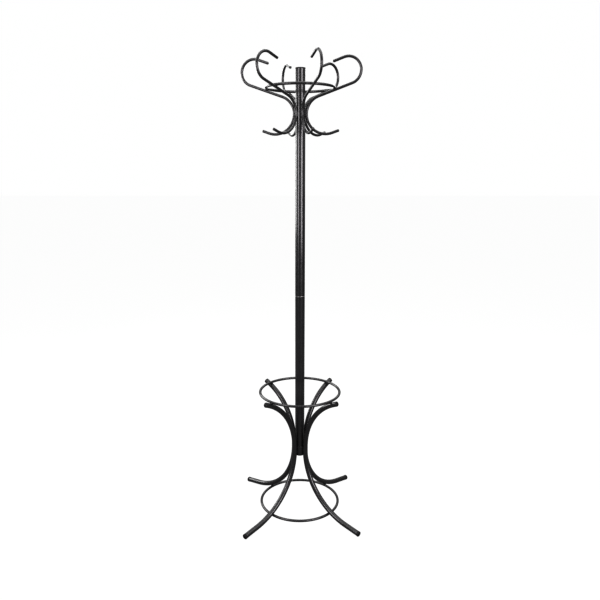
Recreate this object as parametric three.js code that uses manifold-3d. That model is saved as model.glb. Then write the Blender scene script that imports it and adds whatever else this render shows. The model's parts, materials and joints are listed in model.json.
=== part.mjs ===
// Standing coat rack in bent steel tube and bar, in the shape of a bentwood hall stand.
//
// A two-piece pole stands in a hub, which carries four C-shaped legs. Near its top the pole
// carries six S-shaped rods, each with a large looped hat hook above and a small coat hook
// below. Three rings tie the rods and the legs together.
//
// Units are millimetres. +Z is up, the origin is on the floor under the middle of the pole,
// and -Y is the front. An azimuth is counted in degrees from the front towards +X.

import * as THREE from 'three';
import { mergeVertices } from 'three/addons/utils/BufferGeometryUtils.js';
import Module from 'manifold-3d';

const wasm = await Module();
wasm.setup();

// ---------------------------------------------------------------- driving dimensions

const GAP = 0.3;                      // between pieces that touch on the real object

const POLE_RADIUS = 19;
const POLE_WALL = 1.5;
const POLE_BOTTOM = 254;
const POLE_JOINT = 946;               // where the lower and the upper tube meet
const POLE_TOP = 1816;
const POLE_CAP_THICKNESS = 3;
const POLE_CAP_EDGE = 1.2;            // chamfer round the caps
const POLE_CAP_STEM = 10;

const JOINT_PLUG_LENGTH = 30;         // steel plugs pressed into both tubes at the joint
const JOINT_STUD_RADIUS = 5;
const JOINT_STUD_LENGTH = 52;

const HUB_WALL = 2.7;
const HUB_RADIUS = POLE_RADIUS + GAP + HUB_WALL;
const HUB_HEIGHT = 39;

const BOLT_RADIUS = 2.5;              // one bolt right through the hub and the pole
const BOLT_HEAD_RADIUS = 4.5;
const BOLT_HEAD_TOP_RADIUS = 3.5;
const BOLT_HEAD_HEIGHT = 2.6;
const BOLT_TIP = 1.5;                 // how far the bolt shows past its nut
const NUT_RADIUS = 4.6;
const NUT_HEIGHT = 4;
const NUT_CORNERS = 6;
const DRILL_LENGTH = 4 * HUB_RADIUS;

const ROD_RADIUS = 5;                 // solid bar of the hooks and the rings
const HOOK_COUNT = 6;
const HOOK_TURN = 16;                 // azimuth of the first hook
const HOOK_WAIST_HEIGHT = 1653;       // where the rods touch the pole
const HOOK_RISE = [                   // from the waist up to the tip of the hat hook
  { radius: 67.3, turn: -70.8 },
  { straight: 134 },
  { radius: 48.5, turn: 180 },
  { straight: 44 },
];
const HOOK_DROP = [                   // from the waist down to the tip of the coat hook
  { radius: 74, turn: 108.7 },
  { straight: 29.4 },
];

const LEG_RADIUS = 10;
const LEG_WALL = 1.5;
const LEG_NAMES = ['front_right', 'rear_right', 'rear_left', 'front_left'];
const FIRST_LEG_AZIMUTH = 45;
const LEG_WAIST_LENGTH = 12;          // straight stretch that lies against the hub
const LEG_RISE = { radius: 254.6, turn: -66.6 };
const LEG_DROP = { radius: 265, turn: 80.8 };
const LEG_END_LENGTH = 12;            // straight stretch that takes the plug at the top
const LEG_SHIN_LENGTH = 63.7;         // straight stretch between the drop and the foot
const PLUG_STEM_RADIUS = 7.5;
const PLUG_STEM_LENGTH = 14;
const TOP_PLUG_LENGTH = 6;            // length of a plug outside its tube
const FOOT_LENGTH = 10;
const FOOT_RADIUS = 10.4;
const PLUG_DOME = 3;
const DOME_STEPS = 3;
const FLOOR_SIZE = 1000;              // of the block that cuts the feet flat
const FOOT_CENTRE_HEIGHT = 8.65;      // of the tip of a foot, so its underside is cut flat

const UMBRELLA_RING_RADIUS = 166;
const BASE_RING_RADIUS = 166;
const HAT_RING_RADIUS = 129.5;

const TUBE_SIDES = 24;
const LEG_SIDES = 10;
const ROD_SIDES = 8;
const SMALL_SIDES = 12;
const RING_SEGMENTS = 44;
const HOOK_STEPS = 36;
const LEG_STEPS = 20;

const COAT = { color: 0x1d1d1f, roughness: 0.38, metalness: 0.0 };
const PLASTIC = { color: 0x161617, roughness: 0.5, metalness: 0.0 };
const ZINC = { color: 0x9a9ca0, roughness: 0.35, metalness: 1.0 };

const rack = new THREE.Group();

// ---------------------------------------------------------------- helpers

const radians = THREE.MathUtils.degToRad;

function addPart(name, geometry, finish, parent = rack) {
  const mesh = new THREE.Mesh(geometry, new THREE.MeshStandardMaterial(finish));
  mesh.name = name;
  parent.add(mesh);
  return mesh;
}

// A group whose local +X points away from the pole at the given azimuth.
function spoke(azimuth) {
  const group = new THREE.Group();
  group.rotation.z = radians(azimuth - 90);
  rack.add(group);
  return group;
}

function circlePoints(radius, sides) {
  const points = [];
  for (let i = 0; i < sides; i += 1) {
    const angle = (2 * Math.PI * i) / sides;
    points.push(new THREE.Vector2(radius * Math.cos(angle), radius * Math.sin(angle)));
  }
  return points;
}

// A round section, hollow when it is given a bore.
function roundSection(radius, sides, bore = 0) {
  const section = new THREE.Shape(circlePoints(radius, sides));
  if (bore > 0) {
    section.holes.push(new THREE.Path(circlePoints(bore, sides)));
  }
  return section;
}

// A body turned round +Z from [radius, height] pairs.
function turned(profile, sides) {
  const points = profile.map(([radius, height]) => new THREE.Vector2(radius, height));
  return new THREE.LatheGeometry(points, sides).rotateX(Math.PI / 2);
}

function sleeve(outer, inner, bottom, top) {
  return turned([[inner, bottom], [outer, bottom], [outer, top], [inner, top], [inner, bottom]],
    TUBE_SIDES);
}

// A circular arc in the plane of local X (outward) and Z (up).
class PlaneArc extends THREE.Curve {
  constructor(centre, radius, start, sweep) {
    super();
    Object.assign(this, { centre, radius, start, sweep });
  }

  getPoint(t, target = new THREE.Vector3()) {
    const angle = this.start + this.sweep * t;
    return target.set(
      this.centre.x + this.radius * Math.cos(angle),
      0,
      this.centre.z + this.radius * Math.sin(angle),
    );
  }
}

// Walks straights and arcs in the X-Z plane. A positive turn is anticlockwise.
function walk(start, heading, moves) {
  const curve = new THREE.CurvePath();
  let point = start.clone();
  let angle = radians(heading);
  for (const move of moves) {
    let piece;
    if (move.straight) {
      const step = new THREE.Vector3(Math.cos(angle), 0, Math.sin(angle));
      piece = new THREE.LineCurve3(point, point.clone().addScaledVector(step, move.straight));
    } else {
      const side = Math.sign(move.turn);
      const toCentre = angle + (side * Math.PI) / 2;
      const centre = new THREE.Vector3(
        point.x + move.radius * Math.cos(toCentre),
        0,
        point.z + move.radius * Math.sin(toCentre),
      );
      piece = new PlaneArc(centre, move.radius, toCentre - Math.PI, radians(move.turn));
      angle += radians(move.turn);
    }
    curve.add(piece);
    point = piece.getPoint(1);
  }
  return { curve, end: point, heading: THREE.MathUtils.radToDeg(angle) };
}

function backwards(moves) {
  return [...moves].reverse().map((move) => (move.turn ? { ...move, turn: -move.turn } : move));
}

// A rod or tube that leaves a waist both upwards (rise) and downwards (drop).
function bentRun(waist, rise, drop) {
  const low = walk(waist, -90, drop);
  const high = walk(waist, 90, rise);
  const whole = walk(low.end, low.heading + 180, [...backwards(drop), ...rise]);
  return { low, high, curve: whole.curve };
}

function sweep(section, curve, steps) {
  return new THREE.ExtrudeGeometry(section, { extrudePath: curve, steps });
}

function solidOf(geometry) {
  const bare = geometry.clone();
  bare.deleteAttribute('normal');
  bare.deleteAttribute('uv');
  const merged = mergeVertices(bare.index ? bare.toNonIndexed() : bare, 1e-4);
  return new wasm.Manifold(new wasm.Mesh({
    numProp: 3,
    vertProperties: new Float32Array(merged.attributes.position.array),
    triVerts: new Uint32Array(merged.index.array),
  }));
}

function geometryOf(solid) {
  const { vertProperties, triVerts } = solid.getMesh();
  const geometry = new THREE.BufferGeometry();
  geometry.setAttribute('position', new THREE.BufferAttribute(vertProperties, 3));
  geometry.setIndex(new THREE.BufferAttribute(triVerts, 1));
  return geometry;
}

// Cuts a round hole right through a body, along a horizontal line through the pole's axis.
function drilled(geometry, azimuth, height, radius) {
  const drill = new THREE.CylinderGeometry(radius, radius, DRILL_LENGTH, SMALL_SIDES)
    .rotateZ(Math.PI / 2)
    .rotateZ(radians(azimuth - 90))
    .translate(0, 0, height);
  return geometryOf(solidOf(geometry).subtract(solidOf(drill)));
}

// ---------------------------------------------------------------- sizes that follow

const legWaistRadius = HUB_RADIUS + GAP + LEG_RADIUS;
const hookWaistRadius = POLE_RADIUS + GAP + ROD_RADIUS;

// From the middle of the waist up to the top end, and down to the foot.
const halfWaist = { straight: LEG_WAIST_LENGTH / 2 };
const legUpwards = [halfWaist, LEG_RISE, { straight: LEG_END_LENGTH }];
const legDownwards = [halfWaist, LEG_DROP, { straight: LEG_SHIN_LENGTH }];

// The legs' waist is as high as the drop makes it, with the feet on the floor.
const legFall = walk(new THREE.Vector3(), -90, [...legDownwards, { straight: FOOT_LENGTH }]);
const legWaistHeight = FOOT_CENTRE_HEIGHT - legFall.end.z;

const hubBottom = POLE_BOTTOM;
const hubTop = hubBottom + HUB_HEIGHT;
const boltHeight = hubBottom + HUB_HEIGHT / 2;
const boltAzimuth = FIRST_LEG_AZIMUTH + 180 / LEG_NAMES.length;

// ---------------------------------------------------------------- pole

function buildPole() {
  const bore = POLE_RADIUS - POLE_WALL;
  const stem = bore - GAP;
  const half = GAP / 2;
  const edge = POLE_RADIUS - POLE_CAP_EDGE;

  const lower = sleeve(POLE_RADIUS, bore, POLE_BOTTOM, POLE_JOINT - half);
  addPart('pole_lower_tube', drilled(lower, boltAzimuth, boltHeight, BOLT_RADIUS + GAP), COAT);
  addPart('pole_upper_tube', sleeve(POLE_RADIUS, bore, POLE_JOINT + half, POLE_TOP), COAT);

  const capTop = POLE_TOP + GAP + POLE_CAP_THICKNESS;
  addPart('pole_top_cap', turned([
    [0, POLE_TOP - POLE_CAP_STEM],
    [stem, POLE_TOP - POLE_CAP_STEM],
    [stem, POLE_TOP + GAP],
    [POLE_RADIUS, POLE_TOP + GAP],
    [POLE_RADIUS, capTop - POLE_CAP_EDGE],
    [edge, capTop],
    [0, capTop],
  ], TUBE_SIDES), PLASTIC);

  const capBottom = POLE_BOTTOM - GAP - POLE_CAP_THICKNESS;
  addPart('pole_bottom_cap', turned([
    [0, capBottom],
    [edge, capBottom],
    [POLE_RADIUS, capBottom + POLE_CAP_EDGE],
    [POLE_RADIUS, POLE_BOTTOM - GAP],
    [stem, POLE_BOTTOM - GAP],
    [stem, POLE_BOTTOM + POLE_CAP_STEM],
    [0, POLE_BOTTOM + POLE_CAP_STEM],
  ], TUBE_SIDES), PLASTIC);

  const thread = JOINT_STUD_RADIUS + GAP;
  addPart('joint_plug_lower',
    sleeve(stem, thread, POLE_JOINT - half - JOINT_PLUG_LENGTH, POLE_JOINT - half), ZINC);
  addPart('joint_plug_upper',
    sleeve(stem, thread, POLE_JOINT + half, POLE_JOINT + half + JOINT_PLUG_LENGTH), ZINC);
  addPart('joint_stud', turned([
    [0, POLE_JOINT - JOINT_STUD_LENGTH / 2],
    [JOINT_STUD_RADIUS, POLE_JOINT - JOINT_STUD_LENGTH / 2],
    [JOINT_STUD_RADIUS, POLE_JOINT + JOINT_STUD_LENGTH / 2],
    [0, POLE_JOINT + JOINT_STUD_LENGTH / 2],
  ], SMALL_SIDES), ZINC);
}

// ---------------------------------------------------------------- hub

// A sleeve round the pole, with the through bolt and the nut that hold it.
function buildHub() {
  const body = sleeve(HUB_RADIUS, HUB_RADIUS - HUB_WALL, hubBottom, hubTop);
  addPart('leg_hub', drilled(body, boltAzimuth, boltHeight, BOLT_RADIUS + GAP), COAT);

  const seat = HUB_RADIUS + GAP;
  const nutEnd = seat + NUT_HEIGHT;
  const fixings = spoke(boltAzimuth);
  const bolt = turned([
    [0, -nutEnd - BOLT_TIP],
    [BOLT_RADIUS, -nutEnd - BOLT_TIP],
    [BOLT_RADIUS, seat],
    [BOLT_HEAD_RADIUS, seat],
    [BOLT_HEAD_RADIUS, seat + BOLT_HEAD_HEIGHT / 2],
    [BOLT_HEAD_TOP_RADIUS, seat + BOLT_HEAD_HEIGHT],
    [0, seat + BOLT_HEAD_HEIGHT],
  ], SMALL_SIDES).rotateY(Math.PI / 2).translate(0, 0, boltHeight);
  addPart('leg_hub_bolt', bolt, COAT, fixings);

  const hexagon = roundSection(NUT_RADIUS, NUT_CORNERS);
  hexagon.holes.push(new THREE.Path(circlePoints(BOLT_RADIUS + GAP, SMALL_SIDES)));
  const nut = new THREE.ExtrudeGeometry(hexagon, { depth: NUT_HEIGHT, bevelEnabled: false })
    .rotateY(Math.PI / 2)
    .translate(-nutEnd, 0, boltHeight);
  addPart('leg_hub_nut', nut, COAT, fixings);
}

// ---------------------------------------------------------------- hooks

function buildHooks() {
  const waist = new THREE.Vector3(hookWaistRadius, 0, HOOK_WAIST_HEIGHT);
  const { curve } = bentRun(waist, HOOK_RISE, HOOK_DROP);
  const section = roundSection(ROD_RADIUS, ROD_SIDES);
  for (let i = 0; i < HOOK_COUNT; i += 1) {
    const azimuth = HOOK_TURN + (360 / HOOK_COUNT) * i;
    addPart(`hook_rod_${i + 1}`, sweep(section, curve, HOOK_STEPS), COAT, spoke(azimuth));
  }
}

// ---------------------------------------------------------------- legs

// A round plug whose outer part starts at height 0 and ends in a low dome.
function plug(radius, length) {
  const profile = [
    [0, -PLUG_STEM_LENGTH],
    [PLUG_STEM_RADIUS, -PLUG_STEM_LENGTH],
    [PLUG_STEM_RADIUS, GAP],
    [radius, GAP],
  ];
  for (let i = 0; i < DOME_STEPS; i += 1) {
    const angle = (Math.PI / 2) * (i / DOME_STEPS);
    profile.push([radius * Math.cos(angle), length - PLUG_DOME * (1 - Math.sin(angle))]);
  }
  profile.push([0, length]);
  return turned(profile, SMALL_SIDES);
}

// Sets a body built along +Z on the end of a run, pointing the way the run ends.
function onEnd(geometry, run) {
  return geometry
    .rotateY(Math.PI / 2 - radians(run.heading))
    .translate(run.end.x, run.end.y, run.end.z);
}

// Cuts off whatever would reach below the floor.
function flatUnder(geometry) {
  const floor = new THREE.BoxGeometry(FLOOR_SIZE, FLOOR_SIZE, FLOOR_SIZE)
    .translate(0, 0, -FLOOR_SIZE / 2);
  return geometryOf(solidOf(geometry).subtract(solidOf(floor)));
}

function buildLegs() {
  const waist = new THREE.Vector3(legWaistRadius, 0, legWaistHeight);
  const run = bentRun(waist, legUpwards, legDownwards);
  const section = roundSection(LEG_RADIUS, LEG_SIDES, LEG_RADIUS - LEG_WALL);
  LEG_NAMES.forEach((name, i) => {
    const leg = spoke(FIRST_LEG_AZIMUTH + (360 / LEG_NAMES.length) * i);
    addPart(`leg_${name}`, sweep(section, run.curve, LEG_STEPS), COAT, leg);
    addPart(`leg_plug_${name}`, onEnd(plug(LEG_RADIUS, TOP_PLUG_LENGTH), run.high), PLASTIC, leg);
    addPart(`foot_${name}`, flatUnder(onEnd(plug(FOOT_RADIUS, FOOT_LENGTH), run.low)),
      PLASTIC, leg);
  });
}

// ---------------------------------------------------------------- rings

function buildRing(name, radius, height) {
  const outline = circlePoints(ROD_RADIUS, ROD_SIDES).map(({ x, y }) => [radius + x, height + y]);
  addPart(name, turned([...outline, outline[0]], RING_SEGMENTS), COAT);
}

// Height at which a ring of a given radius rests against an arc of larger bodies, from the
// arc's centre, its radius and the sum of the two bar radii.
function restingHeight(centre, arcRadius, contact, ringRadius, side) {
  const reach = arcRadius + contact;
  return centre.z + side * Math.sqrt(reach ** 2 - (centre.x - ringRadius) ** 2);
}

function buildRings() {
  const legContact = LEG_RADIUS + GAP + ROD_RADIUS;
  const riseCentre = {
    x: legWaistRadius + LEG_RISE.radius,
    z: legWaistHeight + halfWaist.straight,
  };
  const dropCentre = {
    x: legWaistRadius + LEG_DROP.radius,
    z: legWaistHeight - halfWaist.straight,
  };
  buildRing('umbrella_ring', UMBRELLA_RING_RADIUS,
    restingHeight(riseCentre, LEG_RISE.radius, legContact, UMBRELLA_RING_RADIUS, 1));
  buildRing('base_ring', BASE_RING_RADIUS,
    restingHeight(dropCentre, LEG_DROP.radius, legContact, BASE_RING_RADIUS, -1));

  // The hat ring lies on the straight stretch of the hook rods.
  const waist = new THREE.Vector3(hookWaistRadius, 0, HOOK_WAIST_HEIGHT);
  const bend = walk(waist, 90, HOOK_RISE.slice(0, 1));
  const slope = radians(bend.heading);
  const rodHeight = bend.end.z + (HAT_RING_RADIUS - bend.end.x) * Math.tan(slope);
  buildRing('hat_ring', HAT_RING_RADIUS, rodHeight + (2 * ROD_RADIUS + GAP) / Math.cos(slope));
}

// ---------------------------------------------------------------- assembly

buildPole();
buildHub();
buildHooks();
buildLegs();
buildRings();

export default rack;
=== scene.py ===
"""Standing coat rack in bent steel with a black powder coat: fine surfaces and finishes.

Everything is in metres, in the frame of the part: +Z is up, the floor is at Z = 0, the pole
stands on the Z axis and -Y is the front. An azimuth is counted in degrees from the front
towards +X.
"""
import json
import math

import bmesh
import bpy
from mathutils import Matrix, Vector


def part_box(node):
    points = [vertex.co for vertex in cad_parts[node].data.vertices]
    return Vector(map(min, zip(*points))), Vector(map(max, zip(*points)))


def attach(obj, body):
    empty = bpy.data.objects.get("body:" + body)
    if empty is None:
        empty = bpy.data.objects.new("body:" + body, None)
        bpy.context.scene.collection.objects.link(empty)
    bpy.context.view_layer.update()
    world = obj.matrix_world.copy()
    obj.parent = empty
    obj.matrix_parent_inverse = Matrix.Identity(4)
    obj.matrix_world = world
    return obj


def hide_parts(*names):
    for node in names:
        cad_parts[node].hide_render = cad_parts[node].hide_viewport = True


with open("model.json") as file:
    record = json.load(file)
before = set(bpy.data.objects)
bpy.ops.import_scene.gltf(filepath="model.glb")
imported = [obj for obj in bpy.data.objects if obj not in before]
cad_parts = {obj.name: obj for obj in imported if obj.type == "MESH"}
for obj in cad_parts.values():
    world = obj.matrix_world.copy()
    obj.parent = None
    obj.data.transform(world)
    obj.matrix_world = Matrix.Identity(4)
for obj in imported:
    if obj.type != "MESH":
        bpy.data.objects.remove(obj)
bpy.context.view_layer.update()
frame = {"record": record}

# ---------------------------------------------------------------- driving dimensions

GAP = 0.0003                     # between pieces that touch

POLE_WALL = 0.0015
POLE_END_ROUNDING = 0.0005
CAP_ROUNDING = 0.0012
CAP_STEM_CLEARANCE = 0.0003
GATE_MARK_RADIUS = 0.0016        # where a moulded cap left its mould
GATE_MARK_DEPTH = 0.0003
GATE_MARK_FLOOR = 0.8            # radius of the mark's floor, in radii of the mark
GATE_MARK_SURROUND = 2           # radius of the flat kept round it, in radii of the mark

STUD_PITCH = 0.0015
STUD_THREAD_DEPTH = 0.0009
JOINT_PLUG_ROUNDING = 0.001
JOINT_PLUG_GROOVES = (0.3, 0.5, 0.7)  # heights of the grip grooves, in lengths of the plug
JOINT_PLUG_GROOVE_DEPTH = 0.00045

BOLT_RADIUS = 0.0025
BOLT_PITCH = 0.0008
BOLT_THREAD_DEPTH = 0.00045
BOLT_THREAD_LENGTH = 0.012
BOLT_HEAD_HEIGHT = 0.0026
BOLT_HEAD_FLAT = 0.62            # radius of the flat on the head, in radii of the head
BOLT_HEAD_DOME = 0.8             # height of the dome, in heights of the head
BOLT_TIP = 0.0015                # how far the bolt stands out of its nut
SOCKET_RADIUS = 0.0018           # of the hexagon in the bolt's head, to its corners
SOCKET_DEPTH = 0.0015
SOCKET_MOUTH = 1.15              # radius of its chamfered mouth, in radii of the socket
SOCKET_CHAMFER = 0.1             # depth of that chamfer, in radii of the socket
SOCKET_CONE = 0.4                # depth of the drill point in its floor, in radii of the socket
NUT_HEIGHT = 0.004
NUT_CORNER_RADIUS = 0.0046
NUT_CHAMFER = 0.0005
NUT_FACE_RADIUS = 0.97           # of the chamfered face, in half widths across the flats

HUB_ROUNDING = 0.0006

ROD_RADIUS = 0.005
ROD_TIP = 0.0042                 # length of the rounded end of a bar
HOOK_COUNT = 6
FIRST_HOOK_AZIMUTH = 16
HOOK_RISE = [                    # from the waist up to the tip of the hat hook
    {"radius": 0.0673, "turn": -70.8},
    {"straight": 0.134},
    {"radius": 0.0485, "turn": 180},
    {"straight": 0.044},
]
HOOK_DROP = [                    # from the waist down to the tip of the coat hook
    {"radius": 0.074, "turn": 108.7},
    {"straight": 0.0294},
]
HOOK_WAIST_DEPTH = 0.163         # of the rods' waist below the top of the pole

LEG_RADIUS = 0.010
LEG_WALL = 0.0015
LEG_END_ROUNDING = 0.0004
LEG_NAMES = ["front_right", "rear_right", "rear_left", "front_left"]
LEG_COUNT = len(LEG_NAMES)
FIRST_LEG_AZIMUTH = 45           # of the first name in that list
LEG_RISE = [                     # from the middle of the waist up to the top end
    {"straight": 0.006},
    {"radius": 0.2546, "turn": -66.6},
    {"straight": 0.012},
]
LEG_DROP = [                     # from the middle of the waist down to the foot
    {"straight": 0.006},
    {"radius": 0.265, "turn": 80.8},
    {"straight": 0.0637},
]
PLUG_STEM_RADIUS = 0.0075
PLUG_STEM_LENGTH = 0.014
PLUG_STEM_TIP = 0.9              # radius of the stem's tip, in radii of the stem
PLUG_RIBS = (0.8, 0.55, 0.3)     # depths of the ribs on the stem, in lengths of the stem
PLUG_RIB = 0.0007                # how far a rib stands out, and half its width
PLUG_DOME = 0.003
TOP_PLUG_LENGTH = 0.006
FOOT_LENGTH = 0.010
FOOT_RADIUS = 0.0104
FOOT_CENTRE_HEIGHT = 0.00865     # of the centre of the foot's outer end

BEAD_RADIUS = 0.0017             # of a weld bead
BEAD_SINK = 0.0006               # how deep a bead's centre lies past the surfaces it joins
BEAD_RIPPLE = 0.07               # height of its ripples, in radii of the bead
BEAD_RIPPLE_STEPS = 4            # steps from one ripple to the next
BEAD_TAPER = 4                   # the higher this exponent, the blunter the ends of a bead
BEAD_STEPS = 24
ROD_WELD_LENGTH = 0.026          # of the beads between a hook rod and the pole
CROSSING_HALF_ANGLE = 30         # how far a bead reaches round a bar that a ring crosses
RING_WELD_AZIMUTH = 180          # of the butt weld that closes a ring
BUTT_WELD_HEIGHT = 0.00035
BUTT_WELD_WIDTH = 0.006

POLE_SIDES = 96
LEG_SIDES = 40
ROD_SIDES = 32
SMALL_SIDES = 48
BEAD_SIDES = 14
ROD_STEP = 0.003
LEG_STEP = 0.006
FILLET_STEPS = 4
THREAD_STEPS = 6                 # rows of vertices in each turn of a thread
SHARP_ANGLE = math.radians(38)

OUT = Vector((1, 0, 0))
SIDE = Vector((0, 1, 0))
UP = Vector((0, 0, 1))

slots = {part["node"]: part["material_slot"] for part in frame["record"]["subparts"]}


# ---------------------------------------------------------------- mesh helpers

def new_mesh(name, bm):
    """Mesh data from a mesh under construction, which is used up."""
    mesh = bpy.data.meshes.new(name)
    bm.to_mesh(mesh)
    bm.free()
    return mesh


def new_object(name, data):
    """An object of the scene, made from a mesh, a light or a camera."""
    made = bpy.data.objects.new(name, data)
    bpy.context.scene.collection.objects.link(made)
    return made


def loft(bm, rings, looped=False):
    """Skins rings of points with faces. A ring of a single point closes the body there."""
    layers = [[bm.verts.new(point) for point in ring] for ring in rings]
    pairs = list(zip(layers, layers[1:]))
    if looped:
        pairs.append((layers[-1], layers[0]))
    for lower, upper in pairs:
        count = max(len(lower), len(upper))
        for i in range(count):
            j = (i + 1) % count
            corners = [lower[i % len(lower)], lower[j % len(lower)],
                       upper[j % len(upper)], upper[i % len(upper)]]
            bm.faces.new(list(dict.fromkeys(corners)))


def ring_round(centre, across, side, radius, sides):
    """Points round a centre. The radius is a number, or a function of the angle."""
    if radius == 0:
        return [centre]
    points = []
    for i in range(sides):
        angle = 2 * math.pi * i / sides
        reach = radius(angle) if callable(radius) else radius
        points.append(centre + reach * (math.cos(angle) * across + math.sin(angle) * side))
    return points


def hexagon(corner_radius):
    """The radius of a hexagon as a function of the angle."""
    flat = corner_radius * math.cos(math.pi / 6)
    return lambda angle: flat / math.cos(angle % (math.pi / 3) - math.pi / 6)


def rounded(corners):
    """(radius, height) pairs along corners of (radius, height, fillet)."""
    outline = []
    for i, (x, z, fillet) in enumerate(corners):
        if fillet == 0:
            outline.append((x, z))
            continue
        here = Vector((x, z))
        before = (Vector(corners[i - 1][:2]) - here).normalized()
        after = (Vector(corners[(i + 1) % len(corners)][:2]) - here).normalized()
        half = before.angle(after) / 2
        centre = here + (before + after).normalized() * fillet / math.sin(half)
        first = (here + before * fillet / math.tan(half) - centre).normalized()
        last = (here + after * fillet / math.tan(half) - centre).normalized()
        for k in range(FILLET_STEPS + 1):
            outline.append(tuple(centre + fillet * first.slerp(last, k / FILLET_STEPS)))
    return outline


def turned(bm, outline, place=Matrix(), sides=SMALL_SIDES, looped=False):
    """A body turned round the local Z axis of a placing matrix."""
    rings = []
    for radius, height in outline:
        ring = ring_round(UP * height, OUT, SIDE, radius, sides)
        rings.append([place @ point for point in ring])
    loft(bm, rings, looped)


def thread(radius, depth, pitch, start, length):
    """Outline rows of a screw thread, whose radius depends on the angle."""
    rows = []
    count = round(length / pitch * THREAD_STEPS)
    for k in range(count + 1):
        height = start + length * k / count

        def reach(angle, height=height):
            phase = (height / pitch - angle / (2 * math.pi)) % 1
            return radius - depth * (1 - abs(2 * phase - 1))
        rows.append((reach, height))
    return rows


def add_piece(name, bm, slot, nodes=()):
    """Turns a mesh under construction into a finished piece that rides on the frame."""
    bmesh.ops.recalc_face_normals(bm, faces=bm.faces)
    mesh = new_mesh(name, bm)
    mesh.shade_smooth()
    mesh.set_sharp_from_angle(angle=SHARP_ANGLE)
    mesh.materials.append(finishes[slot])
    piece = new_object(name, mesh)
    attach(piece, "root")
    if nodes:
        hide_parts(*nodes)
    return piece


def finish_node(node, bm):
    """A piece that stands for the CAD node of the same name."""
    return add_piece(f"{node}_fine", bm, slots[node], [node])


def spoke(azimuth):
    """Turns local +X away from the pole at the given azimuth."""
    return Matrix.Rotation(math.radians(azimuth - 90), 4, "Z")


def at_station(station, azimuth):
    """Places a body turned round Z at a station of a run, with its Z axis along the run."""
    x, z, angle = station
    return (spoke(azimuth) @ Matrix.Translation((x, 0, z))
            @ Matrix.Rotation(math.pi / 2 - angle, 4, "Y"))


def drill(piece, place, radius, reach):
    """Cuts a round hole along the Z axis of a place, from -reach to reach."""
    bm = bmesh.new()
    turned(bm, [(0, -reach), (radius, -reach), (radius, reach), (0, reach)], place)
    bmesh.ops.recalc_face_normals(bm, faces=bm.faces)
    cutter = new_object("drill", new_mesh("drill", bm))
    cut = piece.modifiers.new("drill", "BOOLEAN")
    cut.operation = "DIFFERENCE"
    cut.solver = "EXACT"
    cut.object = cutter
    evaluated = piece.evaluated_get(bpy.context.evaluated_depsgraph_get())
    drilled = bpy.data.meshes.new_from_object(evaluated)
    drilled.set_sharp_from_angle(angle=SHARP_ANGLE)
    piece.modifiers.clear()
    whole = piece.data
    name = whole.name
    piece.data = drilled
    bpy.data.meshes.remove(whole)
    drilled.name = name
    bpy.data.objects.remove(cutter)


# ---------------------------------------------------------------- bent bars

def walk(start, heading, moves, step):
    """Stations (x, z, angle) along straights and arcs. A positive turn is anticlockwise."""
    x, z = start
    angle = math.radians(heading)
    stations = [(x, z, angle)]
    for move in moves:
        if "straight" in move:
            count = max(1, math.ceil(move["straight"] / step))
            for k in range(1, count + 1):
                reach = move["straight"] * k / count
                stations.append((x + reach * math.cos(angle), z + reach * math.sin(angle), angle))
        else:
            radius = math.copysign(move["radius"], move["turn"])
            turn = math.radians(move["turn"])
            count = max(2, math.ceil(abs(radius * turn) / step))
            for k in range(1, count + 1):
                now = angle + turn * k / count
                stations.append((
                    x + radius * (math.sin(now) - math.sin(angle)),
                    z - radius * (math.cos(now) - math.cos(angle)),
                    now,
                ))
        x, z, angle = stations[-1]
    return stations


def bent_run(waist, rise, drop, step):
    """Stations of a bar that leaves a waist both downwards (drop) and upwards (rise)."""
    low = [(x, z, angle + math.pi) for x, z, angle in walk(waist, -90, drop, step)]
    return low[::-1] + walk(waist, 90, rise, step)[1:]


def shortened(stations, length):
    """Moves both end stations inwards along the straights that they end."""
    x, z, angle = stations[0]
    first = (x + length * math.cos(angle), z + length * math.sin(angle), angle)
    x, z, angle = stations[-1]
    last = (x - length * math.cos(angle), z - length * math.sin(angle), angle)
    return [first, *stations[1:-1], last]


def station_ring(station, radius, sides, place, ahead=0.0):
    """A ring of points round a station, moved ahead along the run."""
    x, z, angle = station
    along = Vector((math.cos(angle), 0, math.sin(angle)))
    across = Vector((-math.sin(angle), 0, math.cos(angle)))
    centre = Vector((x, 0, z)) + along * ahead
    return [place @ point for point in ring_round(centre, across, SIDE, radius, sides)]


def domed_bar(bm, stations, radius, tip, sides, place):
    """A solid round bar whose two ends are rounded off over the length of a tip."""
    inner = shortened(stations, tip)
    steps = 2 * FILLET_STEPS
    curve = [math.pi / 2 * k / steps for k in range(1, steps)]
    dome = [(tip * math.sin(a), radius * math.cos(a)) for a in curve]
    rings = [station_ring(inner[0], 0, sides, place, -tip)]
    rings += [station_ring(inner[0], reach, sides, place, -ahead) for ahead, reach in dome[::-1]]
    rings += [station_ring(station, radius, sides, place) for station in inner]
    rings += [station_ring(inner[-1], reach, sides, place, ahead) for ahead, reach in dome]
    rings.append(station_ring(inner[-1], 0, sides, place, tip))
    loft(bm, rings)


def open_tube(bm, stations, radius, wall, rounding, sides, place):
    """A tube with open ends, its outer end edges rounded off."""
    inner = shortened(stations, rounding)
    corner = [math.pi / 2 * k / FILLET_STEPS for k in range(1, FILLET_STEPS + 1)]
    edge = [(rounding * math.sin(a), radius - rounding * (1 - math.cos(a))) for a in corner]
    bore = radius - wall
    rings = [station_ring(inner[0], reach, sides, place, -ahead) for ahead, reach in edge[::-1]]
    rings += [station_ring(station, radius, sides, place) for station in inner]
    rings += [station_ring(inner[-1], reach, sides, place, ahead) for ahead, reach in edge]
    rings.append(station_ring(stations[-1], bore, sides, place))
    rings += [station_ring(station, bore, sides, place) for station in inner[::-1]]
    rings.append(station_ring(stations[0], bore, sides, place))
    loft(bm, rings, looped=True)


# ---------------------------------------------------------------- finishes

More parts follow.
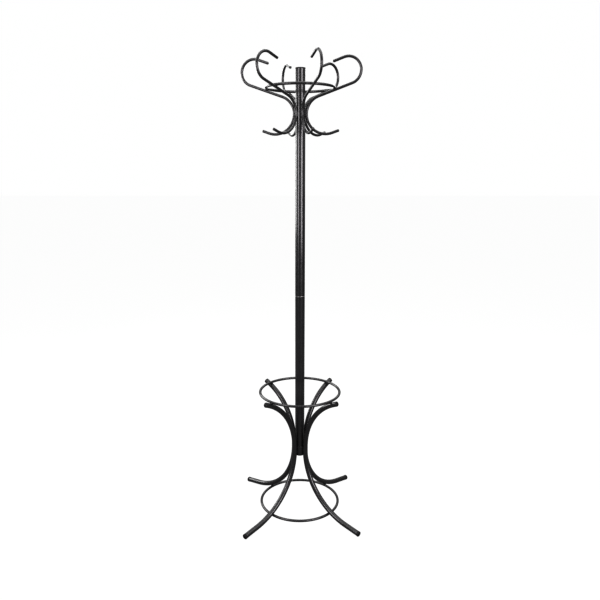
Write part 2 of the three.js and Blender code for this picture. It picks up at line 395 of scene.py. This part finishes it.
NOISE_LOW = 0.3                  # nearly all the values of a noise lie between these two
NOISE_HIGH = 0.7


class Finish:
    """A material under construction, round one Principled shader."""

    def __init__(self, name):
        self.material = bpy.data.materials.new(name)
        self.material.use_nodes = True
        self.tree = self.material.node_tree
        self.shader = self.tree.nodes["Principled BSDF"]
        self.place = self.tree.nodes.new("ShaderNodeTexCoord").outputs["Object"]

    def link(self, source, target):
        """Links an output socket to an input socket."""
        self.tree.links.new(source, target)

    def noise(self, cell, detail=2.0):
        """Even noise whose cells are about this many metres across."""
        node = self.tree.nodes.new("ShaderNodeTexNoise")
        node.inputs["Scale"].default_value = 1 / cell
        node.inputs["Detail"].default_value = detail
        self.link(self.place, node.inputs["Vector"])
        return node.outputs["Fac"]

    def specks(self, cell, size):
        """1 in the core of a small round speck in each cell, and 0 from its edge outwards."""
        node = self.tree.nodes.new("ShaderNodeTexVoronoi")
        node.inputs["Scale"].default_value = 1 / cell
        self.link(self.place, node.inputs["Vector"])
        core = 0.6 * size
        return self.ramp(node.outputs["Distance"], size, core)

    def ramp(self, source, low, high, start=0.0, end=1.0):
        """Maps low..high of a value to start..end."""
        node = self.tree.nodes.new("ShaderNodeMapRange")
        self.link(source, node.inputs["Value"])
        bounds = {"From Min": low, "From Max": high, "To Min": start, "To Max": end}
        for name, value in bounds.items():
            node.inputs[name].default_value = value
        return node.outputs["Result"]

    def spread(self, noise, start=0.0, end=1.0):
        """Maps the usual values of a noise to start..end."""
        return self.ramp(noise, NOISE_LOW, NOISE_HIGH, start, end)

    def combine(self, operation, first, second):
        """Adds or multiplies two values, each a number or a socket."""
        node = self.tree.nodes.new("ShaderNodeMath")
        node.operation = operation
        for socket, value in zip(node.inputs, (first, second)):
            if isinstance(value, (int, float)):
                socket.default_value = value
            else:
                self.link(value, socket)
        return node.outputs["Value"]

    def blend(self, factor, first, second):
        """A colour between two, each an RGB triple or a socket."""
        node = self.tree.nodes.new("ShaderNodeMix")
        node.data_type = "RGBA"
        self.link(factor, node.inputs["Factor"])
        for name, colour in (("A", first), ("B", second)):
            socket = next(s for s in node.inputs if s.name == name and s.type == "RGBA")
            if isinstance(colour, tuple):
                socket.default_value = (*colour, 1)
            else:
                self.link(colour, socket)
        return next(s for s in node.outputs if s.type == "RGBA")

    def attribute(self, name):
        """A value that the mesh holds at each vertex."""
        node = self.tree.nodes.new("ShaderNodeAttribute")
        node.attribute_name = name
        return node.outputs["Fac"]

    def bump(self, height, depth):
        """Raises the surface by up to this many metres where the height is 1."""
        node = self.tree.nodes.new("ShaderNodeBump")
        node.inputs["Distance"].default_value = depth
        self.link(height, node.inputs["Height"])
        self.link(node.outputs["Normal"], self.shader.inputs["Normal"])

    def set(self, name, value):
        """Links a socket, or sets a number or an RGB triple, on the shader itself."""
        target = self.shader.inputs[name]
        if isinstance(value, bpy.types.NodeSocket):
            self.link(value, target)
        else:
            target.default_value = (*value, 1) if isinstance(value, tuple) else value


def powder_coat():
    """Semi-gloss black powder coat: orange peel, faint mottling, and bare steel at a cut edge."""
    dark = (0.024, 0.024, 0.025)
    pale = (0.032, 0.0315, 0.0325)
    fleck = (0.06, 0.06, 0.062)
    steel = (0.62, 0.61, 0.60)
    finish = Finish("powder_coat")
    mottle = finish.noise(cell=0.035, detail=3.0)
    grains = finish.noise(cell=0.0011)
    colour = finish.blend(finish.spread(mottle), dark, pale)
    colour = finish.blend(finish.specks(cell=0.006, size=0.05), colour, fleck)
    bare = finish.ramp(finish.attribute("bare_steel"), 0.35, 0.75)
    finish.set("Base Color", finish.blend(bare, colour, steel))
    finish.set("Metallic", bare)
    cloudy = finish.spread(mottle, 0.34, 0.40)
    finish.set("Roughness", finish.combine("ADD", cloudy, finish.spread(grains, -0.02, 0.03)))
    finish.set("IOR", 1.5)
    finish.set("Coat Weight", 1.0)
    finish.set("Coat Roughness", 0.15)
    fine_peel = finish.combine("MULTIPLY", grains, 0.25)
    peel = finish.combine("ADD", finish.noise(cell=0.0032, detail=1.0), fine_peel)
    finish.bump(peel, depth=1.5e-6)
    return finish.material


def cap_plastic():
    """Satin black moulded plastic with a fine spark-eroded grain."""
    dark = (0.014, 0.014, 0.0145)
    pale = (0.021, 0.021, 0.0215)
    finish = Finish("cap_plastic")
    grain = finish.noise(cell=0.0005, detail=3.0)
    cloud = finish.noise(cell=0.012)
    finish.set("Base Color", finish.blend(cloud, dark, pale))
    finish.set("Roughness", finish.spread(grain, 0.40, 0.52))
    finish.set("IOR", 1.49)
    finish.bump(grain, depth=2e-5)
    return finish.material


def foot_plastic():
    """Matt black plastic, dulled a little by dust close to the floor."""
    dark = (0.012, 0.012, 0.0125)
    pale = (0.019, 0.019, 0.0195)
    dust = (0.09, 0.085, 0.08)
    dust_height = 0.006
    most_dust = 0.6
    finish = Finish("foot_plastic")
    grain = finish.noise(cell=0.0006, detail=3.0)
    cloud = finish.noise(cell=0.008, detail=4.0)
    split = finish.tree.nodes.new("ShaderNodeSeparateXYZ")
    finish.link(finish.place, split.inputs["Vector"])
    low = finish.ramp(split.outputs["Z"], dust_height, 0.0, 0.0, most_dust)
    body = finish.blend(cloud, dark, pale)
    dusty = finish.blend(finish.combine("MULTIPLY", low, cloud), body, dust)
    finish.set("Base Color", dusty)
    finish.set("Roughness", finish.spread(cloud, 0.52, 0.64))
    finish.set("IOR", 1.49)
    finish.bump(grain, depth=4e-5)
    return finish.material


def black_screws():
    """Black oxide on steel screws: dark, slightly uneven and a little metallic."""
    dark = (0.020, 0.020, 0.021)
    pale = (0.042, 0.041, 0.042)
    finish = Finish("black_screws")
    cloud = finish.noise(cell=0.002, detail=3.0)
    grain = finish.noise(cell=0.0004)
    finish.set("Base Color", finish.blend(cloud, dark, pale))
    finish.set("Metallic", 0.35)
    finish.set("Roughness", finish.spread(cloud, 0.30, 0.44))
    finish.bump(grain, depth=1e-5)
    return finish.material


def zinc_steel():
    """Bright zinc plating with its faint blue and yellow clouds."""
    bluish = (0.60, 0.62, 0.66)
    yellowish = (0.68, 0.66, 0.60)
    finish = Finish("zinc_steel")
    cloud = finish.noise(cell=0.006, detail=3.0)
    grain = finish.noise(cell=0.0005, detail=3.0)
    finish.set("Base Color", finish.blend(cloud, bluish, yellowish))
    finish.set("Metallic", 1.0)
    finish.set("Roughness", finish.spread(grain, 0.24, 0.36))
    finish.bump(grain, depth=1e-5)
    return finish.material


finishes = {
    "powder_coat": powder_coat(),
    "cap_plastic": cap_plastic(),
    "foot_plastic": foot_plastic(),
    "black_screws": black_screws(),
    "zinc_steel": zinc_steel(),
}


# ---------------------------------------------------------------- places in the frame

def span(node):
    """Lowest and highest point of a CAD node, and its radius round the pole."""
    low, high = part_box(node)
    return low.z, high.z, high.x


lower_bottom, lower_top, pole_radius = span("pole_lower_tube")
upper_bottom, upper_top, _ = span("pole_upper_tube")
hub_bottom, hub_top, hub_radius = span("leg_hub")
hub_middle = (hub_bottom + hub_top) / 2
hook_waist_height = upper_top - HOOK_WAIST_DEPTH
hook_waist_radius = pole_radius + GAP + ROD_RADIUS
leg_waist_radius = hub_radius + GAP + LEG_RADIUS
pole_bore = pole_radius - POLE_WALL
stem_radius = pole_bore - CAP_STEM_CLEARANCE
hook_azimuths = [FIRST_HOOK_AZIMUTH + 360 / HOOK_COUNT * i for i in range(HOOK_COUNT)]
leg_azimuths = [FIRST_LEG_AZIMUTH + 360 / LEG_COUNT * i for i in range(LEG_COUNT)]

# The bolt lies level, half way between two legs.
bolt_place = at_station((0, hub_middle, 0), FIRST_LEG_AZIMUTH + 180 / LEG_COUNT)

# The feet stand on the floor, and the drop of the legs sets how high their waist is.
_, leg_fall, _ = walk((0, 0), -90, [*LEG_DROP, {"straight": FOOT_LENGTH}], LEG_STEP)[-1]
leg_waist_height = FOOT_CENTRE_HEIGHT - leg_fall


# ---------------------------------------------------------------- pole

def pole_tube(node, bottom, top, bare_end):
    """One tube of the pole. The cut edge at its bare end has lost its coat."""
    fillet = POLE_END_ROUNDING
    outline = rounded([
        (pole_bore, bottom, 0),
        (pole_radius, bottom, fillet),
        (pole_radius, top, fillet),
        (pole_bore, top, 0),
    ])
    # One more row just past each fillet, so that the bare steel doesn't fade up the tube.
    next_row = 1.5 * fillet
    past_fillet = FILLET_STEPS + 2
    outline.insert(past_fillet, (pole_radius, bottom + next_row))
    outline.insert(past_fillet + 1, (pole_radius, top - next_row))
    bm = bmesh.new()
    turned(bm, outline, sides=POLE_SIDES, looped=True)
    bare = bm.verts.layers.float.new("bare_steel")
    for vert in bm.verts:
        if abs(vert.co.z - bare_end) < (fillet + next_row) / 2:
            vert[bare] = 1
    return finish_node(node, bm)


def build_pole():
    """The two tubes of the pole, with a hole through the lower one for the hub's bolt."""
    lower = pole_tube("pole_lower_tube", lower_bottom, lower_top, lower_top)
    drill(lower, bolt_place, BOLT_RADIUS + GAP, 2 * pole_radius)
    pole_tube("pole_upper_tube", upper_bottom, upper_top, upper_bottom)


def end_cap(node, rim, inner_end, outer_end):
    """A moulded cap: a stem inside the tube, from inner_end to its rim, and a flat head."""
    mark_floor = outer_end - math.copysign(GATE_MARK_DEPTH, outer_end - rim)
    bm = bmesh.new()
    turned(bm, rounded([
        (0, inner_end, 0),
        (stem_radius, inner_end, CAP_ROUNDING),
        (stem_radius, rim, 0),
        (pole_radius, rim, 0),
        (pole_radius, outer_end, CAP_ROUNDING),
        (GATE_MARK_RADIUS * GATE_MARK_SURROUND, outer_end, 0),
        (GATE_MARK_RADIUS, outer_end, 0),
        (GATE_MARK_RADIUS * GATE_MARK_FLOOR, mark_floor, 0),
        (0, mark_floor, 0),
    ]), sides=POLE_SIDES)
    finish_node(node, bm)


def build_caps():
    """The caps at the top and the bottom of the pole."""
    stem_bottom, cap_top, _ = span("pole_top_cap")
    end_cap("pole_top_cap", upper_top + GAP, stem_bottom, cap_top)
    cap_bottom, stem_top, _ = span("pole_bottom_cap")
    end_cap("pole_bottom_cap", lower_bottom - GAP, stem_top, cap_bottom)


def build_joint_plugs():
    """The two threaded steel plugs pressed into the tubes where they meet."""
    _, _, stud_radius = span("joint_stud")
    thread_root = stud_radius + GAP + STUD_THREAD_DEPTH
    groove = JOINT_PLUG_GROOVE_DEPTH
    for node in ("joint_plug_lower", "joint_plug_upper"):
        bottom, top, radius = span(node)
        corners = [(thread_root, bottom, 0), (radius, bottom, JOINT_PLUG_ROUNDING)]
        for share in JOINT_PLUG_GROOVES:
            height = bottom + (top - bottom) * share
            corners += [
                (radius, height - groove, 0),
                (radius - groove, height, 0),
                (radius, height + groove, 0),
            ]
        corners += [(radius, top, JOINT_PLUG_ROUNDING), (thread_root, top, 0)]
        cut = thread(thread_root, STUD_THREAD_DEPTH, STUD_PITCH,
                     bottom + STUD_PITCH, top - bottom - 2 * STUD_PITCH)
        bm = bmesh.new()
        turned(bm, rounded(corners) + cut[::-1], looped=True)
        finish_node(node, bm)


def build_joint_stud():
    """The threaded stud that draws the two tubes of the pole together."""
    bottom, top, radius = span("joint_stud")
    bm = bmesh.new()
    turned(bm, [
        (0, bottom),
        (radius - STUD_THREAD_DEPTH, bottom),
        *thread(radius, STUD_THREAD_DEPTH, STUD_PITCH, bottom + STUD_THREAD_DEPTH,
                top - bottom - 2 * STUD_THREAD_DEPTH),
        (radius - STUD_THREAD_DEPTH, top),
        (0, top),
    ])
    finish_node("joint_stud", bm)


# ---------------------------------------------------------------- hub and its bolt

def build_hub():
    """The sleeve round the pole that the legs are welded to."""
    bore = pole_radius + GAP
    bm = bmesh.new()
    turned(bm, rounded([
        (bore, hub_bottom, 0),
        (hub_radius, hub_bottom, HUB_ROUNDING),
        (hub_radius, hub_top, HUB_ROUNDING),
        (bore, hub_top, 0),
    ]), sides=POLE_SIDES, looped=True)
    hub = finish_node("leg_hub", bm)
    drill(hub, bolt_place, BOLT_RADIUS + GAP, 2 * hub_radius)


def build_bolt():
    """A button-head bolt with a hexagon socket, right through the hub and the pole."""
    low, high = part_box("leg_hub_bolt")
    head_radius = (high.z - low.z) / 2
    flat_radius = head_radius * BOLT_HEAD_FLAT
    seat = hub_radius + GAP
    face = seat + BOLT_HEAD_HEIGHT
    tip = -seat - NUT_HEIGHT - BOLT_TIP
    steps = 2 * FILLET_STEPS
    dome = []
    for k in range(steps + 1):
        angle = math.pi / 2 * k / steps
        dome.append((flat_radius + (head_radius - flat_radius) * math.cos(angle),
                     face - BOLT_HEAD_HEIGHT * BOLT_HEAD_DOME * (1 - math.sin(angle))))
    socket = hexagon(SOCKET_RADIUS)
    thread_start = tip + BOLT_THREAD_DEPTH
    bm = bmesh.new()
    turned(bm, [
        (0, tip),
        (BOLT_RADIUS - BOLT_THREAD_DEPTH, tip),
        *thread(BOLT_RADIUS, BOLT_THREAD_DEPTH, BOLT_PITCH, thread_start, BOLT_THREAD_LENGTH),
        (BOLT_RADIUS, thread_start + BOLT_THREAD_LENGTH + BOLT_PITCH),
        (BOLT_RADIUS, seat),
        (head_radius, seat),
        *dome,
        (SOCKET_RADIUS * SOCKET_MOUTH, face),
        (socket, face - SOCKET_RADIUS * SOCKET_CHAMFER),
        (socket, face - SOCKET_DEPTH),
        (0, face - SOCKET_DEPTH - SOCKET_RADIUS * SOCKET_CONE),
    ], bolt_place)
    finish_node("leg_hub_bolt", bm)


def build_nut():
    """A hexagon nut with a chamfered face, on the far side of the pole from the bolt's head."""
    inner_end = -hub_radius - GAP
    outer_end = inner_end - NUT_HEIGHT
    corners = hexagon(NUT_CORNER_RADIUS)
    face_radius = NUT_CORNER_RADIUS * math.cos(math.pi / 6) * NUT_FACE_RADIUS

    def chamfered(limit):
        return lambda angle: min(corners(angle), limit)

    outline = []
    for k in range(FILLET_STEPS + 1):
        share = k / FILLET_STEPS
        limit = face_radius + (NUT_CORNER_RADIUS - face_radius) * share
        outline.append((chamfered(limit), outer_end + NUT_CHAMFER * share))
    thread_root = BOLT_RADIUS + GAP + BOLT_THREAD_DEPTH
    cut = thread(thread_root, BOLT_THREAD_DEPTH, BOLT_PITCH,
                 outer_end + BOLT_THREAD_DEPTH, NUT_HEIGHT - 2 * BOLT_THREAD_DEPTH)
    outline += [(corners, inner_end), (thread_root, inner_end), *cut[::-1], (thread_root, outer_end)]
    bm = bmesh.new()
    turned(bm, outline, bolt_place, looped=True)
    finish_node("leg_hub_nut", bm)


# ---------------------------------------------------------------- hooks

hook_stations = bent_run((hook_waist_radius, hook_waist_height), HOOK_RISE, HOOK_DROP, ROD_STEP)


def build_hooks():
    """The hook rods, all alike, in a circle round the pole."""
    for i, azimuth in enumerate(hook_azimuths):
        bm = bmesh.new()
        domed_bar(bm, hook_stations, ROD_RADIUS, ROD_TIP, ROD_SIDES, spoke(azimuth))
        finish_node(f"hook_rod_{i + 1}", bm)


# ---------------------------------------------------------------- legs

leg_stations = bent_run((leg_waist_radius, leg_waist_height), LEG_RISE, LEG_DROP, LEG_STEP)


def plug_outline(radius, length):
    """A plug whose head starts at height 0 and ends in a low dome, with ribs on its stem."""
    outline = [(0, -PLUG_STEM_LENGTH), (PLUG_STEM_RADIUS * PLUG_STEM_TIP, -PLUG_STEM_LENGTH)]
    for share in PLUG_RIBS:
        height = -PLUG_STEM_LENGTH * share
        outline += [(PLUG_STEM_RADIUS, height - PLUG_RIB),
                    (PLUG_STEM_RADIUS + PLUG_RIB, height),
                    (PLUG_STEM_RADIUS, height + PLUG_RIB)]
    outline += [(PLUG_STEM_RADIUS, GAP), (radius - GAP, GAP), (radius, 2 * GAP)]
    steps = 3 * FILLET_STEPS
    for k in range(steps):
        angle = math.pi / 2 * k / steps
        outline.append((radius * math.cos(angle), length - PLUG_DOME * (1 - math.sin(angle))))
    outline.append((0, length))
    return outline


def cut_flat(bm):
    """Cuts off what lies below the floor and closes the cut with one flat face."""
    everything = [*bm.verts, *bm.edges, *bm.faces]
    cut = bmesh.ops.bisect_plane(bm, geom=everything, plane_co=(0, 0, 0), plane_no=(0, 0, -1),
                                 clear_outer=True)
    rim = [edge for edge in cut["geom_cut"] if isinstance(edge, bmesh.types.BMEdge)]
    bmesh.ops.contextual_create(bm, geom=rim)


def build_legs():
    """Each leg with the plug in its upper end and the foot in its lower end."""
    low_x, low_z, low_angle = leg_stations[0]
    low_end = (low_x, low_z, low_angle + math.pi)
    high_end = leg_stations[-1]
    for name, azimuth in zip(LEG_NAMES, leg_azimuths):
        bm = bmesh.new()
        open_tube(bm, leg_stations, LEG_RADIUS, LEG_WALL, LEG_END_ROUNDING, LEG_SIDES,
                  spoke(azimuth))
        finish_node(f"leg_{name}", bm)

        bm = bmesh.new()
        turned(bm, plug_outline(LEG_RADIUS, TOP_PLUG_LENGTH), at_station(high_end, azimuth))
        finish_node(f"leg_plug_{name}", bm)

        bm = bmesh.new()
        turned(bm, plug_outline(FOOT_RADIUS, FOOT_LENGTH), at_station(low_end, azimuth))
        cut_flat(bm)
        finish_node(f"foot_{name}", bm)


# ---------------------------------------------------------------- rings

def build_ring(node):
    """A ring of bar with the faint swelling of its ground butt weld."""
    low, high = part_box(node)
    middle = (low.z + high.z) / 2
    radius = high.x - ROD_RADIUS
    count = round(2 * math.pi * radius / ROD_STEP)
    rings = []
    for i in range(count):
        outward = spoke(RING_WELD_AZIMUTH + 360 * i / count) @ OUT
        from_weld = min(i, count - i) * 2 * math.pi * radius / count
        swell = BUTT_WELD_HEIGHT * math.exp(-((from_weld / (BUTT_WELD_WIDTH / 2)) ** 2))
        centre = outward * radius + UP * middle
        rings.append(ring_round(centre, outward, UP, ROD_RADIUS + swell, ROD_SIDES))
    bm = bmesh.new()
    loft(bm, rings, looped=True)
    finish_node(node, bm)


# ---------------------------------------------------------------- welds

def bead(bm, centres, outward):
    """A weld bead along a short line of centres: rippled, and thin at both ends."""
    count = len(centres)
    rings = []
    for k, centre in enumerate(centres):
        along = (centres[min(k + 1, count - 1)] - centres[max(k - 1, 0)]).normalized()
        across = (outward - along * along.dot(outward)).normalized()
        share = k / (count - 1)
        taper = math.sqrt(1 - (2 * share - 1) ** BEAD_TAPER)
        ripple = 1 + BEAD_RIPPLE * math.cos(2 * math.pi * k / BEAD_RIPPLE_STEPS)
        radius = BEAD_RADIUS * taper * ripple
        rings.append(ring_round(centre, across, along.cross(across), radius, BEAD_SIDES))
    loft(bm, rings)


def weld_along(name, azimuths, core_radius, bar_radius, middle, length):
    """Two upright beads between the pole or hub and each bar that touches it."""
    core_reach = core_radius + BEAD_SINK
    bar_reach = bar_radius + BEAD_SINK
    distance = core_radius + GAP + bar_radius
    x = (distance ** 2 + core_reach ** 2 - bar_reach ** 2) / (2 * distance)
    y = math.sqrt(core_reach ** 2 - x ** 2)
    heights = [middle + length * (k / BEAD_STEPS - 0.5) for k in range(BEAD_STEPS + 1)]
    bm = bmesh.new()
    for azimuth in azimuths:
        place = spoke(azimuth)
        for side in (-1, 1):
            centres = [place @ Vector((x, side * y, height)) for height in heights]
            bead(bm, centres, place @ (SIDE * side))
    add_piece(name, bm, "powder_coat")


def weld_crossings(name, ring, azimuths, stations, bar_radius):
    """Two beads at each crossing, one on either side of the ring, bent round the crossing bar."""
    low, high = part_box(ring)
    ring_x = high.x - ROD_RADIUS
    ring_z = (low.z + high.z) / 2
    x, z, angle = min(stations, key=lambda at: math.hypot(at[0] - ring_x, at[1] - ring_z))
    along = Vector((math.cos(angle), 0, math.sin(angle)))
    to_ring = Vector((-along.z, 0, along.x))
    if to_ring.dot(Vector((ring_x - x, 0, ring_z - z))) < 0:
        to_ring.negate()
    bar_middle = Vector((ring_x, 0, ring_z)) - to_ring * (ROD_RADIUS + GAP + bar_radius)
    rise = ROD_RADIUS + GAP - BEAD_SINK
    beside = math.sqrt((ROD_RADIUS + BEAD_SINK) ** 2 - rise ** 2)
    reach = bar_radius + BEAD_SINK
    arc = []
    for k in range(BEAD_STEPS + 1):
        a = math.radians(CROSSING_HALF_ANGLE * (2 * k / BEAD_STEPS - 1))
        arc.append(reach * (math.cos(a) * to_ring + math.sin(a) * SIDE))
    bm = bmesh.new()
    for azimuth in azimuths:
        place = spoke(azimuth)
        for side in (-1, 1):
            outward = along * side
            centres = [place @ (bar_middle + outward * beside + point) for point in arc]
            bead(bm, centres, place @ outward)
    add_piece(name, bm, "powder_coat")


build_pole()
build_caps()
build_joint_plugs()
build_joint_stud()
build_hub()
build_bolt()
build_nut()
build_hooks()
build_legs()
for ring_node in ("hat_ring", "umbrella_ring", "base_ring"):
    build_ring(ring_node)
weld_along("rod_welds", hook_azimuths, pole_radius, ROD_RADIUS, hook_waist_height, ROD_WELD_LENGTH)
weld_along("leg_welds", leg_azimuths, hub_radius, LEG_RADIUS, hub_middle,
           hub_top - hub_bottom - 2 * BEAD_RADIUS)
weld_crossings("hat_ring_welds", "hat_ring", hook_azimuths, hook_stations, ROD_RADIUS)
weld_crossings("umbrella_ring_welds", "umbrella_ring", leg_azimuths, leg_stations, LEG_RADIUS)
weld_crossings("base_ring_welds", "base_ring", leg_azimuths, leg_stations, LEG_RADIUS)


# ---------------------------------------------------------------- studio

CAMERA_AZIMUTH = -2.45
CAMERA_DISTANCE = 2.388
CAMERA_HEIGHT = 1.4538
CAMERA_PITCH = 12.41             # below the horizon
CAMERA_ROLL = 0.11
CAMERA_LENS = 36.1               # in millimetres, as the width of the sensor is
CAMERA_SENSOR = 36

WHITE = (1, 1, 1)
MAUVE = (1, 0.97, 1)

# Even panels of light. Their turn is counted from the camera's azimuth, and they are aimed
# at the pole at their own height, or else at the height called aim.
SOFTBOXES = {
    "left_softbox": {
        "turn": -43, "distance": 3.0, "height": 1.7,
        "width": 1.6, "tall": 1.7, "radiance": 7, "tint": MAUVE,
    },
    "right_softbox": {
        "turn": 37, "distance": 3.0, "height": 1.65,
        "width": 2.0, "tall": 1.8, "radiance": 7.5, "tint": MAUVE,
    },
    "rim_softbox": {
        "turn": -115, "distance": 3.0, "height": 1.5,
        "width": 2.4, "tall": 1.2, "radiance": 6,
    },
    "back_softbox": {
        "turn": 180, "distance": 3.0, "height": 3.2,
        "width": 5.0, "tall": 2.4, "radiance": 2,
    },
    "top_softbox": {
        "turn": 0, "distance": 0.3, "height": 3.6,
        "width": 8.0, "tall": 2.4, "radiance": 2, "aim": 0,
    },
}

SURROUND = 0.42                  # radiance of the white world, as the rack sees it
BACKDROP = 1.0                   # and as the camera sees it
FLOOR_ALBEDO = (0.2, 0.2, 0.2)   # for the light that the floor throws on the rack
FLOOR_SEEN_ALBEDO = (0.04, 0.04, 0.04)
FLOOR_SEEN_GLOW = 0.97           # with that albedo, makes the floor white for the camera
FLOOR_HALF = 30
FLOOR_DROP = 0.0001              # keeps the floor just under the flat of the feet
VIEW_GAMMA = 0.6


def round_pole(azimuth, distance, height):
    """A point at this azimuth, distance from the pole and height."""
    angle = math.radians(azimuth)
    return Vector((distance * math.sin(angle), -distance * math.cos(angle), height))


def build_camera():
    """The camera faces the pole, then tips down by its pitch and rolls about its own axis."""
    data = bpy.data.cameras.new("camera")
    data.sensor_width = CAMERA_SENSOR
    data.lens = CAMERA_LENS
    camera = new_object("camera", data)
    camera.matrix_world = (
        Matrix.Translation(round_pole(CAMERA_AZIMUTH, CAMERA_DISTANCE, CAMERA_HEIGHT))
        @ Matrix.Rotation(math.radians(CAMERA_AZIMUTH), 4, "Z")
        @ Matrix.Rotation(math.radians(90 - CAMERA_PITCH), 4, "X")
        @ Matrix.Rotation(math.radians(CAMERA_ROLL), 4, "Z")
    )
    bpy.context.scene.camera = camera


def softbox(name, turn, distance, height, width, tall, radiance, tint=WHITE, aim=None):
    """One panel of light, of a given radiance."""
    data = bpy.data.lights.new(name, "AREA")
    data.shape = "RECTANGLE"
    data.size = width
    data.size_y = tall
    data.energy = radiance * math.pi * width * tall
    data.color = tint
    light = new_object(name, data)
    light.location = round_pole(CAMERA_AZIMUTH + turn, distance, height)
    target = UP * (height if aim is None else aim)
    light.rotation_euler = (target - light.location).to_track_quat("-Z", "Y").to_euler()
    light.visible_camera = False


def build_world():
    """White for the camera, and dimmer for the rack, so that the softboxes stand out in it."""
    world = bpy.data.worlds.new("studio")
    bpy.context.scene.world = world
    world.use_nodes = True
    tree = world.node_tree
    background = tree.nodes["Background"]
    rays = tree.nodes.new("ShaderNodeLightPath")
    strength = tree.nodes.new("ShaderNodeMapRange")
    strength.inputs["To Min"].default_value = SURROUND
    strength.inputs["To Max"].default_value = BACKDROP
    background.inputs["Color"].default_value = (*WHITE, 1)
    tree.links.new(rays.outputs["Is Camera Ray"], strength.inputs["Value"])
    tree.links.new(strength.outputs["Result"], background.inputs["Strength"])


def build_floor():
    """A pale floor, which the camera sees as plain white."""
    bm = bmesh.new()
    bmesh.ops.create_grid(bm, x_segments=2, y_segments=2, size=FLOOR_HALF)
    mesh = new_mesh("floor", bm)
    floor = new_object("floor", mesh)
    floor.location.z = -FLOOR_DROP
    pale = Finish("pale_floor")
    seen = pale.tree.nodes.new("ShaderNodeLightPath").outputs["Is Camera Ray"]
    pale.set("Base Color", pale.blend(seen, FLOOR_ALBEDO, FLOOR_SEEN_ALBEDO))
    pale.set("Roughness", 1.0)
    pale.set("Specular IOR Level", 0.0)
    pale.set("Emission Color", WHITE)
    pale.set("Emission Strength", pale.combine("MULTIPLY", seen, FLOOR_SEEN_GLOW))
    mesh.materials.append(pale.material)


build_camera()
build_world()
build_floor()
for box_name, box in SOFTBOXES.items():
    softbox(box_name, **box)
bpy.context.scene.view_settings.view_transform = "Standard"
bpy.context.scene.view_settings.gamma = VIEW_GAMMA
